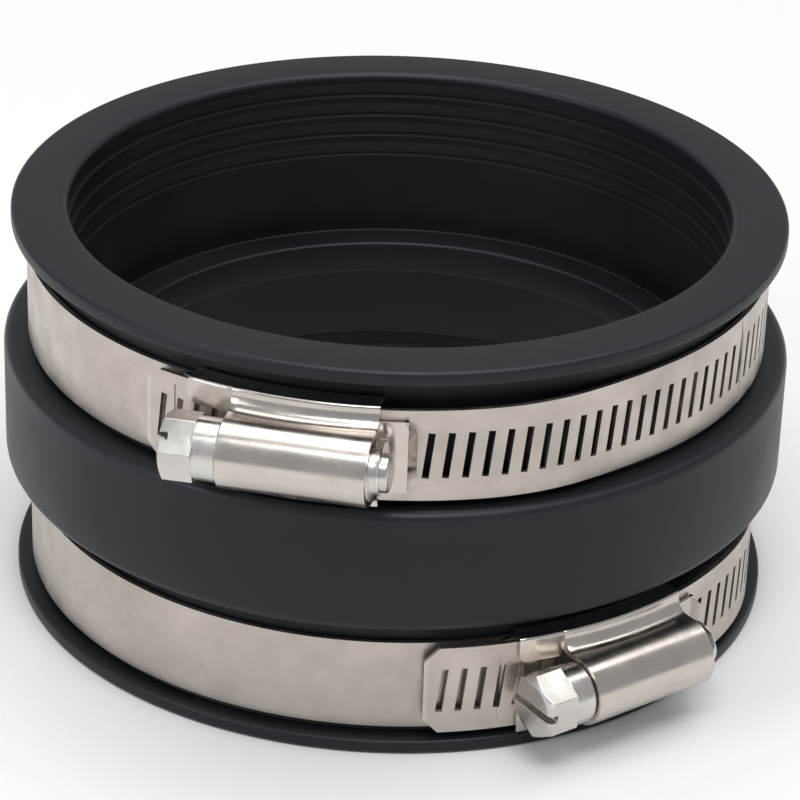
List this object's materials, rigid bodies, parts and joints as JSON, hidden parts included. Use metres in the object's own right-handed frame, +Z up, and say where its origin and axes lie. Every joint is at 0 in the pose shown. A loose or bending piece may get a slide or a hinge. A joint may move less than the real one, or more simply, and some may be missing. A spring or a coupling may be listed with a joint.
{
  "type": "pipe coupling",
  "caption": "Short flexible rubber pipe coupling sleeve held by worm-drive hose clamps with perforated bands, pressed housings and slotted hexagon screws.",
  "frame": {"origin": "centre of the bottom rim plane, on the bore's axis", "axes": "+Z up along the bore; -Y towards the front, between the two worm housings; +X to the right seen from the front"},
  "size_m": [0.1086, 0.1156, 0.0557],
  "materials": {
    "rubber": "matte moulded synthetic rubber with a faint bloom",
    "band_steel": "satin rolled stainless steel",
    "bright_steel": "bright pressed stainless steel",
    "screw_steel": "bright machined steel"
  },
  "bodies": {
    "sleeve": {"sleeve": "rubber"},
    "upper_clamp": {"upper_housing": "bright_steel", "upper_saddle": "band_steel"},
    "upper_band": {"upper_band": "band_steel"},
    "upper_screw": {"upper_screw": "screw_steel"},
    "lower_clamp": {"lower_housing": "bright_steel", "lower_saddle": "band_steel"},
    "lower_band": {"lower_band": "band_steel"},
    "lower_screw": {"lower_screw": "screw_steel"}
  },
  "joints": [
    {"name": "upper_clamp_turn", "type": "hinge", "parent": "sleeve", "child": "upper_clamp", "pos_m": [0, 0, 0.0439], "axis": [0, 0, 1], "continuous": true},
    {"name": "upper_screw_turn", "type": "hinge", "parent": "upper_clamp", "child": "upper_screw", "pos_m": [-0.01163, -0.05473, 0.0439], "axis": [0.9781, -0.2079, 0], "range_deg": [-720, 1080]},
    {"name": "upper_band_feed", "type": "hinge", "parent": "upper_clamp", "child": "upper_band", "pos_m": [0, 0, 0.0439], "axis": [0, 0, 1], "range_deg": [-8.4, 5.6]},
    {"name": "lower_clamp_turn", "type": "hinge", "parent": "sleeve", "child": "lower_clamp", "pos_m": [0, 0, 0.0094], "axis": [0, 0, 1], "continuous": true},
    {"name": "lower_screw_turn", "type": "hinge", "parent": "lower_clamp", "child": "lower_screw", "pos_m": [0.03289, -0.04526, 0.0094], "axis": [0.809, 0.5878, 0], "range_deg": [-720, 1080]},
    {"name": "lower_band_feed", "type": "hinge", "parent": "lower_clamp", "child": "lower_band", "pos_m": [0, 0, 0.0094], "axis": [0, 0, 1], "range_deg": [-8.4, 5.6]}
  ],
  "couplings": [
    {"joint": "upper_band_feed", "follows": "upper_screw_turn", "ratio": -0.0077258},
    {"joint": "lower_band_feed", "follows": "lower_screw_turn", "ratio": -0.0077258}
  ]
}
